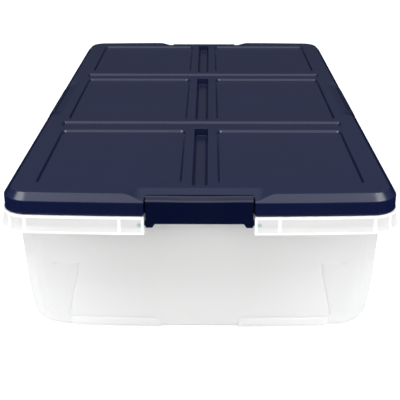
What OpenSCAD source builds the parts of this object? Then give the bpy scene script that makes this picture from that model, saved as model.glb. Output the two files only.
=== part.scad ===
// Under-bed storage box: a clear tub, a lift-off lid and four snap latches.
// The origin is under the middle of the box, on the surface it stands on.
// +X runs across the box, +Y along its length and +Z up. Millimetres.

/* [Lid] */
// Width of the lid across the straight long sides
lid_w = 460; // [450:1:480]
// Length of the lid between the crowns of its bowed ends
lid_l = 821; // [815:1:840]
// How far each end bows outward at its middle
end_bow = 7; // [4:0.5:9]
// Corner radius of the lid seen from above
corner_r = 33; // [30:1:40]
// Height of the closed lid's top above the surface
box_h = 186.5; // [182:0.5:192]
// Size of the bevel between the lid's top and its skirt
bevel = 8.5; // [7:0.5:9]
// Height of the lid's vertical skirt below the bevel
skirt_h = 16; // [15:0.1:18]
// Wall thickness of the lid
lid_t = 2; // [1.8:0.1:2.4]

/* [Lid top] */
// Depth of the recessed panels and of the cross grooves
panel_depth = 3; // [2:0.5:4]
// Corner radius of the panels
panel_r = 9; // [6:1:12]
// Inner edge of the panels, from the middle line
panel_x_in = 21.5; // [19:0.5:25]
// Outer edge of the panels, from the middle line
panel_x_out = 194.5; // [185:0.5:197]
// Half length of the two middle panels
middle_panel_y = 115; // [110:1:117]
// Near edge of the four outer panels, from the middle of the box
outer_panel_y_in = 167; // [165:1:172]
// Far edge of the four outer panels, from the middle of the box
outer_panel_y_out = 368; // [360:1:372]
// Middle of each cross groove, from the middle of the box
groove_y = 138; // [137:1:140]
// Width of the cross grooves
groove_w = 22; // [18:1:24]
// Width of the centre channel
channel_w = 18.4; // [14:0.2:20]
// Depth of the centre channel
channel_depth = 10; // [6:0.5:11]

/* [Tub] */
// Gap in plan between the lid's edge and the tub's wall
wall_inset = 12.7; // [12.5:0.1:14]
// How much each side of the tub leans in from its rim to its foot
wall_draft = 6.7; // [4:0.1:8]
// Wall thickness of the tub
wall_t = 1.8; // [1.6:0.1:2.4]
// Corner radius of the tub seen from above
wall_r = 34; // [32:1:42]
// How much larger that radius grows towards the floor
foot_round = 23; // [10:1:26]
// Radius of the tub's lower edge
floor_r = 13; // [8:1:15]
// Height of the rim that shows below the lid's skirt
rim_h = 21.5; // [20.5:0.1:24]
// How far the rim stands outside the lid's skirt
rim_step = 2.3; // [1.5:0.1:3]
// How far the rim's lower lip stands outside the lid's skirt
lip_step = 4.8; // [3.5:0.1:6]
// Height of the four foot pads below the floor
foot_h = 1.5; // [1:0.1:2.5]

/* [Latches] */
// Length of the latches on the two ends
end_latch_l = 123.4; // [115:0.1:125]
// Length of the latches on the two long sides
side_latch_l = 143; // [135:0.5:150]
// Gap between each end of a latch and the rim
latch_gap = 1.8; // [1:0.1:2.5]
// Wall thickness of a latch
latch_t = 2.5; // [2:0.1:3]
// Radius of the pivot stubs
pin_r = 3.4; // [3:0.1:3.5]
// Clearance all round a pivot stub in its bore
pin_clearance = 0.06; // [0.03:0.01:0.09]

/* [Hidden] */
eps = 0.05;
$fn = 48;

// Heights
skirt_z = box_h - bevel - skirt_h;   // lower edge of the lid's skirt
seat_z = box_h - lid_t;              // the lid rests here, on the top of the tub's wall
rim_z = skirt_z - 0.5;               // top of the tub's flange
lip_z = skirt_z - rim_h;             // lower edge of the tub's lip

// Lid
bead_h = 1.4;                        // bead along the skirt's lower edge
bead_step = 0.4;
panel_lean = 2.4;                    // how far the walls of a panel or groove lean over their depth
groove_x = 199;                      // half length of the cross grooves
channel_lean = 3;
channel_y_mid = 118.5;               // the channel's middle stretch ends here
channel_y_in = 159.5;                // its outer stretches run from here
channel_y_out = 376;                 // to here
locating_gap = 0.5;                  // rib under the lid, just inside the tub's wall
locating_t = 1.6;
locating_h = 7;

// Finger scoops: the lid's top slopes down to each latch
scoop_run = 22.5;                    // from the skirt's face inward
scoop_depth = 7.5;                   // at the skirt's face, on the ends
side_scoop_depth = 3;                // and on the long sides
scoop_fade = 26;                     // length of each end of the scoop, where it dies out
notch_depth = 9.5;                   // notch in the lid's edge that takes the latch's hook

// Latches, measured from the skirt's face and from the lid's top
latch_proud = 0.4;
hook_reach = 9;                      // to the hook's inner edge
hook_drop = 0.5;                     // to the top of the hook's edge
hook_t = 2.6;
face_drop = 34;                      // to the lower edge of the latch's face
pivot_in = 5.5;
pivot_drop = 34.5;
boss_r = 4.1;                        // boss that carries the pivot stub at each end
boss_l = 7.2;
web_t = 1.6;                         // webs behind the face
web_spacing = 24;

// Rim of the tub
rim_t = 1.9;
flange_t = 2;
lip_h = 2;
flare_h = 8;                         // the lip blends into the rim over this height
rib_t = 1.6;
rib_x = [92, 190];                   // ribs behind the rim on the ends
rib_y = [95, 180, 270, 358];         // and on the long sides
cheek_t = 2.6;                       // plate at each side of a latch, with the pivot bore
pin_past_cheek = 2.6;
wall_notch = 5;                      // the wall is lower under each scoop
foot_round_h = 70;                   // the tub's corners grow rounder below this height

// Foot pads, one near each corner
foot_x_in = 48;
foot_x_out = 155;
foot_y = 300;                        // the pads run from here to the end wall
foot_up = 17;                        // and up that wall
foot_proud = 1.1;

// ---- outlines and solids shared by the lid and the tub ----

// Distance from an end's crown line at x, for an outline of this half width
function bow_drop(x, half_w) = end_bow * pow(x / half_w, 2);

// Quarter of a crowned rectangle: a round corner, then the bowed end up to the middle
function quarter(inset, r) =
    let (half_w = lid_w / 2 - inset,
         half_l = lid_l / 2 - inset,
         slope = atan(2 * end_bow * (half_w - r) / pow(half_w, 2)),
         corner_x = half_w - r,
         join_x = corner_x + r * sin(slope),
         corner_y = half_l - bow_drop(join_x, half_w) - r * cos(slope))
    concat([for (i = [0:7])
                let (a = i / 7 * (90 - slope))
                [corner_x + r * cos(a), corner_y + r * sin(a)]],
           [for (i = [1:3])
                let (x = join_x * (1 - i / 4))
                [x, half_l - bow_drop(x, half_w)]]);

function turned_back(p) = [for (i = [len(p) - 1:-1:0]) p[i]];

// Whole outline: straight long sides, bowed ends and round corners
function crowned(inset, r) =
    let (q = quarter(inset, r), end_y = lid_l / 2 - inset)
    concat(q, [[0, end_y]],
           turned_back([for (p = q) [-p[0], p[1]]]),
           [for (p = q) [-p[0], -p[1]]], [[0, -end_y]],
           turned_back([for (p = q) [p[0], -p[1]]]));

// The tub's corners keep their own centre as its wall leans in, and grow rounder near the floor
function wall_line(inset, z = foot_round_h) =
    crowned(inset, wall_r + wall_inset - inset + foot_round * pow(max(1 - z / foot_round_h, 0), 2));
function edge_line(inset) = crowned(inset, corner_r - inset);

// Rectangle with round corners
function round_rect(x0, x1, y0, y1, r) =
    let (cx = [x1 - r, x0 + r, x0 + r, x1 - r], cy = [y1 - r, y1 - r, y0 + r, y0 + r])
    [for (k = [0:3], i = [0:4])
        let (a = 90 * k + 22.5 * i)
        [cx[k] + r * cos(a), cy[k] + r * sin(a)]];

// Solid skinned over a stack of outlines, each [height, points], from the bottom up
module loft(stack) {
    n = len(stack[0][1]);
    m = len(stack);
    points = [for (level = stack, p = level[1]) [p[0], p[1], level[0]]];
    side = [for (j = [0:m - 2], i = [0:n - 1], half = [0, 1])
                let (a = j * n + i,
                     b = j * n + (i + 1) % n)
                half == 0 ? [a, b + n, b] : [a, a + n, b + n]];
    polyhedron(points, concat([[for (i = [0:n - 1]) i]], side,
                              [[for (i = [n - 1:-1:0]) (m - 1) * n + i]]));
}

module slab(line, z, h) {
    translate([0, 0, z]) linear_extrude(h) polygon(line);
}

// Places a child made for the far end, with the skirt's face at y = 0
module at_end(side) {
    translate([0, side * lid_l / 2, 0]) rotate(side > 0 ? 0 : 180) children();
}

// The same on a long side
module at_side(side) {
    translate([side * lid_w / 2, 0, 0]) rotate(-90 * side) children();
}

// First child at both ends, second child on both long sides
module all_round() {
    for (side = [-1, 1]) {
        at_end(side) children(0);
        at_side(side) children(1);
    }
}

// Block across a latch's place, from y_in behind the skirt's face out past the rim
module latch_block(length, y_in, z0, z1) {
    translate([-length / 2, -y_in, z0]) cube([length, y_in + 10, z1 - z0]);
}

// ---- tub ----

// Outside or inside of the tub: a round lower edge, a leaning wall and an upright collar.
// skin is how far it lies inside the tub's outer surface.
module tub_shape(skin, z_low, z_high) {
    r = floor_r - skin;
    bottom = wall_inset + wall_draft + skin;
    arc = [for (i = [0:5])
              let (a = 18 * i, z = z_low + r * (1 - cos(a)))
              [z, wall_line(bottom + r * (1 - sin(a)), z)]];
    wall = [for (z = [24, 34, 45, 57, foot_round_h])
               [z, wall_line(bottom - wall_draft * (z - z_low - r) / (lip_z - z_low - r), z)]];
    loft(concat(arc, wall, [[lip_z, wall_line(wall_inset + skin)], [z_high, wall_line(wall_inset + skin)]]));
}

module foot_pads() {
    intersection() {
        tub_shape(-foot_proud, 0, lip_z + 10);
        for (sx = [-1, 1], sy = [-1, 1]) {
            translate([sx * (foot_x_in + foot_x_out) / 2, sy * (foot_y + lid_l / 4), foot_up / 2])
                cube([foot_x_out - foot_x_in, lid_l / 2, foot_up], center = true);
        }
    }
}

// Flange, outer skirt with its flared lip, and the ribs behind them
module rim() {
    difference() {
        loft([[lip_z, edge_line(-lip_step)], [lip_z + lip_h, edge_line(-lip_step)],
              [lip_z + flare_h, edge_line(-rim_step)], [rim_z, edge_line(-rim_step)]]);
        difference() {
            loft([[lip_z - eps, edge_line(rim_t - lip_step)],
                  [lip_z + lip_h, edge_line(rim_t - lip_step)],
                  [lip_z + flare_h, edge_line(rim_t - rim_step)],
                  [rim_z - flange_t, edge_line(rim_t - rim_step)]]);
            rim_ribs();
        }
        slab(wall_line(wall_inset + wall_t / 2), lip_z - 1, rim_h + 2);
    }
}

module rim_ribs() {
    low = lip_z + lip_h + 1;
    for (side = [-1, 1]) {
        for (x = rib_x, mirrored = [-1, 1])
            at_end(side) translate([mirrored * x, -20, low + rim_h / 2])
                cube([rib_t, 60, rim_h], center = true);
        for (y = rib_y, mirrored = [-1, 1])
            at_side(side) translate([mirrored * y, -15, low + rim_h / 2])
                cube([rib_t, 50, rim_h], center = true);
        for (end = [-1, 1])
            translate([side * (lid_w / 2 - 14), end * (lid_l / 2 - end_bow - 14), low + rim_h / 2])
                rotate(side * end * 45) cube([46, rib_t, rim_h], center = true);
    }
}

// Plates at both ends of a latch's place, from the wall to the rim
module cheeks(length) {
    half_gap = length / 2 + latch_gap;
    for (side = [-1, 1]) {
        translate([side * (half_gap + cheek_t / 2), -(wall_inset - rim_step) / 2 - 0.8, (lip_z + rim_z) / 2])
            cube([cheek_t, wall_inset + rim_step - 1, rim_z - lip_z], center = true);
    }
}

module pivot_bores(length) {
    reach = length / 2 + latch_gap + cheek_t + 1;
    translate([-reach, -pivot_in, box_h - pivot_drop]) rotate([0, 90, 0])
        cylinder(r = pin_r + pin_clearance, h = 2 * reach);
}

module tub() {
    end_gap = end_latch_l + 2 * latch_gap;
    side_gap = side_latch_l + 2 * latch_gap;
    color("whitesmoke", 0.6) difference() {
        union() {
            tub_shape(0, foot_h, seat_z);
            foot_pads();
            difference() {
                rim();
                all_round() {
                    latch_block(end_gap, wall_inset + 3, lip_z - 1, rim_z + 1);
                    latch_block(side_gap, wall_inset + 3, lip_z - 1, rim_z + 1);
                }
            }
            all_round() {
                cheeks(end_latch_l);
                cheeks(side_latch_l);
            }
        }
        tub_shape(wall_t, foot_h + wall_t, seat_z + 1);
        all_round() {
            latch_block(end_latch_l + 2 * scoop_fade + 10, wall_inset + 10, seat_z - wall_notch, box_h);
            latch_block(side_latch_l + 2 * scoop_fade + 10, wall_inset + 10, seat_z - wall_notch, box_h);
        }
        all_round() {
            pivot_bores(end_latch_l);
            pivot_bores(side_latch_l);
        }
    }
}

// ---- lid ----

// Recess with leaning walls and round corners in the lid's top.
// grow gives the matching, thicker shape of its underside.
module tray(x0, x1, y0, y1, depth, lean, r, grow = 0) {
    over = lean / depth;
    loft([[box_h - depth - grow,
           round_rect(x0 + lean - grow, x1 - lean + grow, y0 + lean - grow, y1 - lean + grow, r - lean)],
          [box_h + 1,
           round_rect(x0 - over - grow, x1 + over + grow, y0 - over - grow, y1 + over + grow, r + over)]]);
}

module trays(grow = 0) {
    for (sx = [0, 1]) mirror([sx, 0, 0]) {
        tray(panel_x_in, panel_x_out, -middle_panel_y, middle_panel_y,
             panel_depth, panel_lean, panel_r, grow);
        for (sy = [0, 1]) mirror([0, sy, 0])
            tray(panel_x_in, panel_x_out, outer_panel_y_in, outer_panel_y_out,
                 panel_depth, panel_lean, panel_r, grow);
    }
    for (sy = [-1, 1])
        tray(-groove_x, groove_x, sy * groove_y - groove_w / 2, sy * groove_y + groove_w / 2,
             panel_depth, panel_lean, panel_r / 2, grow);
    for (span = [[-channel_y_mid, channel_y_mid], [channel_y_in, channel_y_out],
                 [-channel_y_out, -channel_y_in]])
        tray(-channel_w / 2, channel_w / 2, span[0], span[1],
             channel_depth, channel_lean, channel_lean + 0.6, grow);
}

// Everything above a scoop's sloping floor, for the far end
module scoop(length, depth, drop = 0) {
    half = length / 2 + latch_gap;
    top = 0.2;
    low = depth * (scoop_run + 3) / scoop_run;
    fade = half + scoop_fade;
    points = [[-fade, -scoop_run, top], [-half, -scoop_run, top], [half, -scoop_run, top],
              [fade, -scoop_run, top], [fade, 3, top], [half, 3, -low], [-half, 3, -low],
              [-fade, 3, top], [-fade, -scoop_run, 4], [fade, -scoop_run, 4], [fade, 3, 4], [-fade, 3, 4]];
    faces = [[1, 2, 5, 6], [2, 3, 5], [3, 4, 5], [0, 1, 6], [0, 6, 7], [8, 9, 3, 2, 1, 0],
             [9, 10, 4, 3], [10, 11, 7, 6, 5, 4], [11, 8, 0, 7], [11, 10, 9, 8]];
    translate([0, 0, box_h - drop]) polyhedron(points, faces);
}

module scoops(drop = 0) {
    all_round() {
        scoop(end_latch_l, scoop_depth, drop);
        scoop(side_latch_l, side_scoop_depth, drop);
    }
}

// Notches in the lid's edge; grow gives the blocks that their walls are cut from
module notches(grow = 0) {
    all_round() {
        latch_block(end_latch_l + 2 * (latch_gap + grow), notch_depth + grow, skirt_z - 1, box_h + 1);
        latch_block(side_latch_l + 2 * (latch_gap + grow), notch_depth + grow, skirt_z - 1, box_h + 1);
    }
}

module locating_rib() {
    outer = wall_inset + wall_t + locating_gap;
    difference() {
        slab(wall_line(outer), seat_z - locating_h, locating_h + 1);
        slab(wall_line(outer + locating_t), seat_z - locating_h - 1, locating_h + 3);
    }
}

module lid() {
    slant = lid_t * (sqrt(2) - 1);
    color("midnightblue") difference() {
        loft([[skirt_z, edge_line(-bead_step)], [skirt_z + bead_h, edge_line(-bead_step)],
              [skirt_z + bead_h + bead_step, edge_line(0)],
              [box_h - bevel, edge_line(0)], [box_h, edge_line(bevel)]]);
        difference() {
            loft([[skirt_z - 1, edge_line(lid_t)], [box_h - bevel - slant, edge_line(lid_t)],
                  [seat_z, edge_line(bevel + slant)]]);
            trays(lid_t);
            scoops(lid_t);
            notches(lid_t);
            locating_rib();
        }
        trays();
        scoops();
        notches();
    }
}

// ---- latches ----

// Section of a latch: its hook slopes up and in from the top of its face
module latch_section(y_cut, z_cut) {
    polygon([[latch_proud, -bevel], [-hook_reach, -hook_drop], [-hook_reach, -hook_drop - hook_t],
             [y_cut, -bevel - latch_t / 2], [y_cut, -face_drop + z_cut], [latch_proud, -face_drop + z_cut]]);
}

// Upright section drawn in y and z, made solid along x
module along_x(x0, x1) {
    translate([x0, 0, 0]) rotate([90, 0, 90]) linear_extrude(x1 - x0) children();
}

module latch(length) {
    half = length / 2;
    webs = floor((half - boss_l) / web_spacing);
    color("navy") translate([0, 0, box_h]) {
        along_x(-half, half) latch_section(latch_proud - latch_t, 0);
        for (i = [-webs:webs])
            along_x(i * web_spacing - web_t / 2, i * web_spacing + web_t / 2)
                latch_section(latch_proud - latch_t - 4, 12);
        for (side = [-1, 1]) {
            inner = half - boss_l;
            along_x(side > 0 ? inner : -half, side > 0 ? half : -inner) {
                translate([-pivot_in, -pivot_drop]) circle(boss_r);
                translate([-pivot_in, -pivot_drop - boss_r])
                    square([pivot_in + latch_proud, 2 * boss_r + 3]);
            }
            translate([side * (half - 1), -pivot_in, -pivot_drop]) rotate([0, 90 * side, 0])
                cylinder(r = pin_r, h = 1 + latch_gap + cheek_t + pin_past_cheek);
        }
    }
}

module latch_front() { at_end(-1) latch(end_latch_l); }
module latch_rear() { at_end(1) latch(end_latch_l); }
module latch_left() { at_side(-1) latch(side_latch_l); }
module latch_right() { at_side(1) latch(side_latch_l); }

tub();
lid();
latch_front();
latch_rear();
latch_left();
latch_right();
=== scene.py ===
"""Looks of the under-bed box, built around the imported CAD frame.

Lengths are in millimetres until a mesh is made, and MM turns them into metres. The tub, the lid and the
latches are skinned from cross-sections, so each edge has its moulded radius and each wall its thickness.
"""

import math

import bmesh
import bpy
import numpy as np
from mathutils import Matrix, Vector
from mathutils.geometry import delaunay_2d_cdt


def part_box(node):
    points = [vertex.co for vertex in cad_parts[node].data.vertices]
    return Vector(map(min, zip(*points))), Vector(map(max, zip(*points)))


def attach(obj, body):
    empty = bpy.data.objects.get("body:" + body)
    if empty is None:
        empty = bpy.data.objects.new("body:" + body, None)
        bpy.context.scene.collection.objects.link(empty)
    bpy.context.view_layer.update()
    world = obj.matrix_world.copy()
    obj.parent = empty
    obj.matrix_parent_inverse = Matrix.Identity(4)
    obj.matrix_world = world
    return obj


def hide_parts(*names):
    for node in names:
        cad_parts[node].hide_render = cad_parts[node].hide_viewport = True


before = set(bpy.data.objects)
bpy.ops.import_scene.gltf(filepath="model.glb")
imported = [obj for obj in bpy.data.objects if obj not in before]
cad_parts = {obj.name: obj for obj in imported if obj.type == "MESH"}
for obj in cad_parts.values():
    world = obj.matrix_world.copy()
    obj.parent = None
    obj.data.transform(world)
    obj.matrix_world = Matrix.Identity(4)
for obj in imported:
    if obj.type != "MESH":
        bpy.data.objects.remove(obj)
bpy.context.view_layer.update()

# ---- sizes -------------------------------------------------------------------------------------------

MM = 0.001


def node_box(name):
    """Lowest and highest corner of a CAD node, in millimetres."""
    low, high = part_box(name)
    return np.array(low) / MM, np.array(high) / MM


LATCH_PROUD = 0.4
PIN_REACH = 7.0                 # how far each pivot stub stands out of the end of its latch
LATCH_GAP = 1.8                 # between a latch and the rim
END_BOW = 7.0
CORNER_R = 33.0
BEVEL = 8.5

TOP_Z = node_box("lid")[1][2]
SKIRT_Z = node_box("lid")[0][2]
SEAT_Z = node_box("tub")[1][2]  # the lid rests on the tub here
LID_T = TOP_Z - SEAT_Z
HALF_W = node_box("latch_right")[1][0] - LATCH_PROUD
HALF_L = node_box("latch_rear")[1][1] - LATCH_PROUD
END_LATCH = node_box("latch_rear")[1][0] - PIN_REACH     # half lengths of the latches
SIDE_LATCH = node_box("latch_right")[1][1] - PIN_REACH
END_NOTCH = END_LATCH + LATCH_GAP                        # half lengths of their places
SIDE_NOTCH = SIDE_LATCH + LATCH_GAP

# lid top
PANEL_DEPTH = 3.0
PANEL_LEAN = 2.4                # how far a recess's walls slant in over its depth
PANEL_R = 9.0
PANEL_X = (21.5, 194.5)
MIDDLE_PANEL_Y = 115.0
OUTER_PANEL_Y = (167.0, 368.0)
GROOVE_X = 199.0
GROOVE_Y = (127.0, 149.0)
GROOVE_R = 4.5
CHANNEL_HALF = 9.2
CHANNEL_DEPTH = 10.0
CHANNEL_LEAN = 3.0
CHANNEL_R = 4.2
CHANNEL_SPANS = ((-118.5, 118.5), (159.5, 376.0), (-376.0, -159.5))
EDGE_R = 0.9                    # moulded radius along the lid's recesses

# scoops in front of the latches
SCOOP_RUN = {"end": 29.0, "side": 22.5}         # from the skirt's face inward
SCOOP_DEPTH = {"end": 7.1, "side": 3.0}
SCOOP_FADE = 26.0               # past the notch, along the edge
SCOOP_BLEND = 2.0
NOTCH_DEPTH = 9.5
SKIRT_CUT = 1.6                 # the skirt's lower corners beside a notch are cut back
BEAD_H = 1.4                    # step along the skirt's foot
BEAD_STEP = 0.4
LOCATING_H = 7.0                # rib under the lid that drops inside the tub's wall

# tub
WALL_INSET = 12.7
WALL_DRAFT = 6.7
WALL_T = 1.8
WALL_R = 34.0
FOOT_ROUND = 23.0               # how much rounder the tub's corners grow towards the floor
FOOT_ROUND_H = 70.0
SWING_R = 78.0                  # corner radius that the tub's columns turn about
FLOOR_R = 13.0
FOOT_H = 1.5
FOOT_PROUD = 1.1
FOOT_X = (48.0, 155.0)
FOOT_Y = 300.0
FOOT_UP = 17.2
FOOT_R = 7.0
FLOOR_LOOP = 40.0               # inset of the loop where the flat floor starts
RIM_Z = SKIRT_Z - 0.5
LIP_Z = SKIRT_Z - 21.5
RIM_STEP = 2.3
LIP_STEP = node_box("tub")[1][0] - HALF_W
RIM_T = 1.9
LIP_H = 2.0                     # the lip at the rim's foot, and the height where its flare ends
FLARE_H = 8.0
FLANGE_T = 2.0
CHEEK_T = 2.6                   # the walls at each end of a latch's place, which hold its pivots
RIB_T = 1.6
END_RIBS = (92.0, 190.0)
SIDE_RIBS = (95.0, 180.0, 270.0, 358.0)
WALL_NOTCH = 5.0
RELIEF = 1.3                    # shallow corner reliefs in the end walls
RELIEF_X = 153.0
RELIEF_TOP = 92.5
RELIEF_SLANT = 8.0              # how far its inner edge leans either way
RELIEF_LOW, RELIEF_HIGH = 20.5, 87.0            # heights between which it leans
RIM_LINE = 2.8                  # thick top and foot of the rim, which look whiter: partly real thick plastic, partly painted edge glow
LIP_LINE = 2.5

LOCATING_OUT = WALL_INSET + WALL_T + 0.5
LOCATING_IN = LOCATING_OUT + 1.6

# latch section, from the skirt's face and the lid's top
LATCH_T = 2.5
HOOK_REACH = 9.0
HOOK_DROP = 0.5
LEVEL_HOOK_REACH = 8.4
LEVEL_HOOKS = {"latch_rear": 3.4, "latch_left": 2.2, "latch_right": 2.2}     # flush with the lid beside them
HOOK_T = 2.6
THUMB_DEPTH = 0.7
FACE_DROP = 34.0
FACE_TOP = -7.0
PIVOT_IN = 5.5
PIVOT_DROP = 34.5
BOSS_R = 4.1
BOSS_L = 7.2
PIN_R = 3.4
BORE_R = 3.46
WEB_SPACING = 24.0
WEB_T = 1.6
WEB_DEPTH = 4.0
WEB_FOOT = -22.0

# ---- small geometry helpers --------------------------------------------------------------------------


def smooth(t):
    t = np.clip(t, 0.0, 1.0)
    return t * t * (3.0 - 2.0 * t)


def rounded(corners, steps=3):
    """Points along a polyline of (d, z, radius) with its inner corners rounded, always the same number."""
    points = [corners[0][:2]]
    for before, here, after in zip(corners, corners[1:], corners[2:]):
        p = np.array(here[:2], float)
        to_before = np.array(before[:2], float) - p
        to_after = np.array(after[:2], float) - p
        len_before = np.linalg.norm(to_before)
        len_after = np.linalg.norm(to_after)
        reach = min(here[2], 0.45 * len_before, 0.45 * len_after)
        a = p + (to_before / len_before * reach if len_before > 1e-9 else 0.0)
        b = p + (to_after / len_after * reach if len_after > 1e-9 else 0.0)
        for k in range(steps + 1):
            t = k / steps
            points.append(tuple((1 - t) ** 2 * a + 2 * t * (1 - t) * p + t * t * b))
    points.append(corners[-1][:2])
    return points


def round_rect(x0, x1, y0, y1, r, n=8):
    r = max(r, 0.5)
    loop = []
    for k, (cx, cy) in enumerate(((x1 - r, y1 - r), (x0 + r, y1 - r), (x0 + r, y0 + r), (x1 - r, y0 + r))):
        for i in range(n + 1):
            a = math.radians(90 * k + 90 * i / n)
            loop.append((cx + r * math.cos(a), cy + r * math.sin(a)))
    return loop


class Skin:
    """Vertices and faces of one piece as it is put together."""

    def __init__(self):
        self.points = []
        self.faces = []

    def add(self, points):
        start = len(self.points)
        self.points.extend(tuple(float(v) for v in p) for p in points)
        return list(range(start, len(self.points)))

    def grid(self, columns):
        """Joins a ring of columns of points; gives the rows of vertex numbers at both ends."""
        index = [self.add(column) for column in columns]
        for i in range(len(index)):
            a, b = index[i], index[(i + 1) % len(index)]
            for j in range(len(a) - 1):
                self.faces.append((a[j], b[j], b[j + 1], a[j + 1]))
        return [c[0] for c in index], [c[-1] for c in index]

    def band(self, loop_a, loop_b):
        n = len(loop_a)
        for i in range(n):
            self.faces.append((loop_a[i], loop_a[(i + 1) % n], loop_b[(i + 1) % n], loop_b[i]))

    def cap(self, loop):
        self.faces.append(tuple(loop))

    def flat_fill(self, outer, holes, axes=(0, 1)):
        """Triangles of the flat region between one outer loop and any holes."""
        numbers, edges = [], []
        for loop in [outer] + holes:
            start = len(numbers)
            n = len(loop)
            numbers.extend(loop)
            edges.extend((start + i, start + (i + 1) % n) for i in range(n))
        flat = [Vector((self.points[v][axes[0]], self.points[v][axes[1]])) for v in numbers]
        _, _, triangles, originals, _, _ = delaunay_2d_cdt(flat, edges, [], 0, 1e-6, True)
        outline = np.array([self.points[v] for v in outer])[:, axes]
        gaps = [np.array([self.points[v] for v in hole])[:, axes] for hole in holes]
        for triangle in triangles:
            corners = [numbers[originals[v][0]] for v in triangle]
            middle = np.mean([[self.points[v][a] for a in axes] for v in corners], axis=0)
            if inside(middle, outline) and not any(inside(middle, gap) for gap in gaps):
                self.faces.append(tuple(corners))

    def make(self, name):
        mesh = bpy.data.meshes.new(name)
        mesh.from_pydata([Vector(p) * MM for p in self.points], [], self.faces)
        bm = bmesh.new()
        bm.from_mesh(mesh)
        bmesh.ops.remove_doubles(bm, verts=bm.verts, dist=2e-6)
        bmesh.ops.dissolve_degenerate(bm, dist=2e-6, edges=bm.edges)
        loose = [v for v in bm.verts if not v.link_faces]
        bmesh.ops.delete(bm, geom=loose, context="VERTS")
        bmesh.ops.recalc_face_normals(bm, faces=bm.faces)
        bm.to_mesh(mesh)
        bm.free()
        mesh.shade_smooth()
        piece = bpy.data.objects.new(name, mesh)
        bpy.context.scene.collection.objects.link(piece)
        weighted = piece.modifiers.new("face_normals", "WEIGHTED_NORMAL")
        weighted.weight = 60
        return piece


def inside(point, loop):
    x, y = point
    x0, y0 = loop[:, 0], loop[:, 1]
    x1, y1 = np.roll(x0, -1), np.roll(y0, -1)
    crosses = (y0 > y) != (y1 > y)
    with np.errstate(divide="ignore", invalid="ignore"):
        at = x0 + (y - y0) / (y1 - y0) * (x1 - x0)
    return int(np.count_nonzero(crosses & (x < at))) % 2 == 1


# ---- the outline that the lid and the tub share ------------------------------------------------------


def bow(x, half_w=None):
    return END_BOW * (x / (half_w or HALF_W)) ** 2


SLOPE = math.atan(2 * END_BOW * (HALF_W - CORNER_R) / HALF_W ** 2)
JOIN_X = HALF_W - CORNER_R + CORNER_R * math.sin(SLOPE)
CORNER_Y = HALF_L - bow(JOIN_X) - CORNER_R * math.cos(SLOPE)
CORNER_TURN = math.pi / 2 - SLOPE
CORNER_STEPS = 18
CORNER_RIB = 0.56 * CORNER_TURN                 # angle of the rib in each corner of the rim
CORNER_RIB_STEP = 10                            # the corner's own column there makes way for the rib's


def edge(kind, c):
    """Point on the skirt's line and its outward normal. c is y on a long side, x on an end and the
    angle in a corner. Only the quarter with positive x and y is worked out."""
    if kind == "side":
        return np.array((HALF_W, c)), np.array((1.0, 0.0))
    if kind == "end":
        normal = np.array((2 * END_BOW * c / HALF_W ** 2, 1.0))
        return np.array((c, HALF_L - bow(c))), normal / np.linalg.norm(normal)
    normal = np.array((math.cos(c), math.sin(c)))
    return np.array((HALF_W - CORNER_R, CORNER_Y)) + CORNER_R * normal, normal


def outside_wall(p, inset, z):
    """Above zero outside the tub's outline at this inset and height, below zero inside it."""
    half_w = HALF_W - inset
    half_l = HALF_L - inset
    r = WALL_R + WALL_INSET - inset + FOOT_ROUND * max(1.0 - z / FOOT_ROUND_H, 0.0) ** 2
    corner_x = half_w - r
    slope = math.atan(2 * END_BOW * corner_x / half_w ** 2)
    join_x = corner_x + r * math.sin(slope)
    corner_y = half_l - bow(join_x, half_w) - r * math.cos(slope)
    if p[0] < join_x:
        return max(p[1] - half_l + bow(p[0], half_w), p[0] - half_w)
    if p[1] > corner_y:
        return math.hypot(p[0] - corner_x, p[1] - corner_y) - r
    return p[0] - half_w


def meets_wall(start, inward, inset, z):
    """How far from start, going inward, the tub's outline at this inset and height is."""
    near, far = -2.0, 70.0
    for _ in range(32):
        middle = (near + far) / 2
        if outside_wall(start + inward * middle, inset, z) > 0:
            near = middle
        else:
            far = middle
    return (near + far) / 2


def wall_depth(kind, c, inset):
    """How far in from the skirt's line, along its normal, the upper wall's outline at this inset is."""
    start, normal = edge(kind, c)
    return meets_wall(start, -normal, inset, FOOT_ROUND_H)


def place(kind, c, d, z):
    start, normal = edge(kind, c)
    x, y = start - normal * d
    return (max(x, 0.0), max(y, 0.0), z)


def all_round(quarter):
    """Columns of the whole outline from those of one quarter, by mirroring."""
    q = np.array(quarter)
    mirror_x = q * (-1, 1, 1)
    mirror_y = q * (1, -1, 1)
    turned = q * (-1, -1, 1)
    return np.concatenate([q[:-1], mirror_x[::-1][:-1], turned[:-1], mirror_y[::-1][:-1]])


NOTCH_EDGE = ((0.0, 0.6), (0.08, 0.35), (0.25, 0.15), (0.6, 0.0))     # rounding of a notch's upright edges


def notch_half(kind):
    return END_NOTCH if kind == "end" else SIDE_NOTCH


# ---- lid ---------------------------------------------------------------------------------------------


def scoop(kind, c, d):
    """Depth of the finger scoop below the lid's top, d in from the skirt's face."""
    if kind == "corner":
        return 0.0
    fade = 1.0 - smooth((c - notch_half(kind)) / SCOOP_FADE)
    run = SCOOP_RUN[kind]
    ahead = run - d
    ramp = max(ahead, 0.0) if abs(ahead) > SCOOP_BLEND else (ahead + SCOOP_BLEND) ** 2 / (4 * SCOOP_BLEND)
    return float(fade) * ramp * SCOOP_DEPTH[kind] / run


def bevel_meets(kind, c, lower):
    """Where the scooped top, lowered by this much, meets the bevel."""
    slant = BEVEL + lower * (math.sqrt(2) - 1)
    near, far = 0.0, slant + 0.01
    for _ in range(30):
        middle = (near + far) / 2
        if slant - middle - scoop(kind, c, middle) > 0:
            near = middle
        else:
            far = middle
    return near


TOP_INSETS = (26.0, 25.1, 24.2, 23.4, 22.6, 21.8, 20.4, 18.0, 15.5)
SCOOP_ROOM = 5.6                # further in along the middle of the ends, where the scoops are longer


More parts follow.
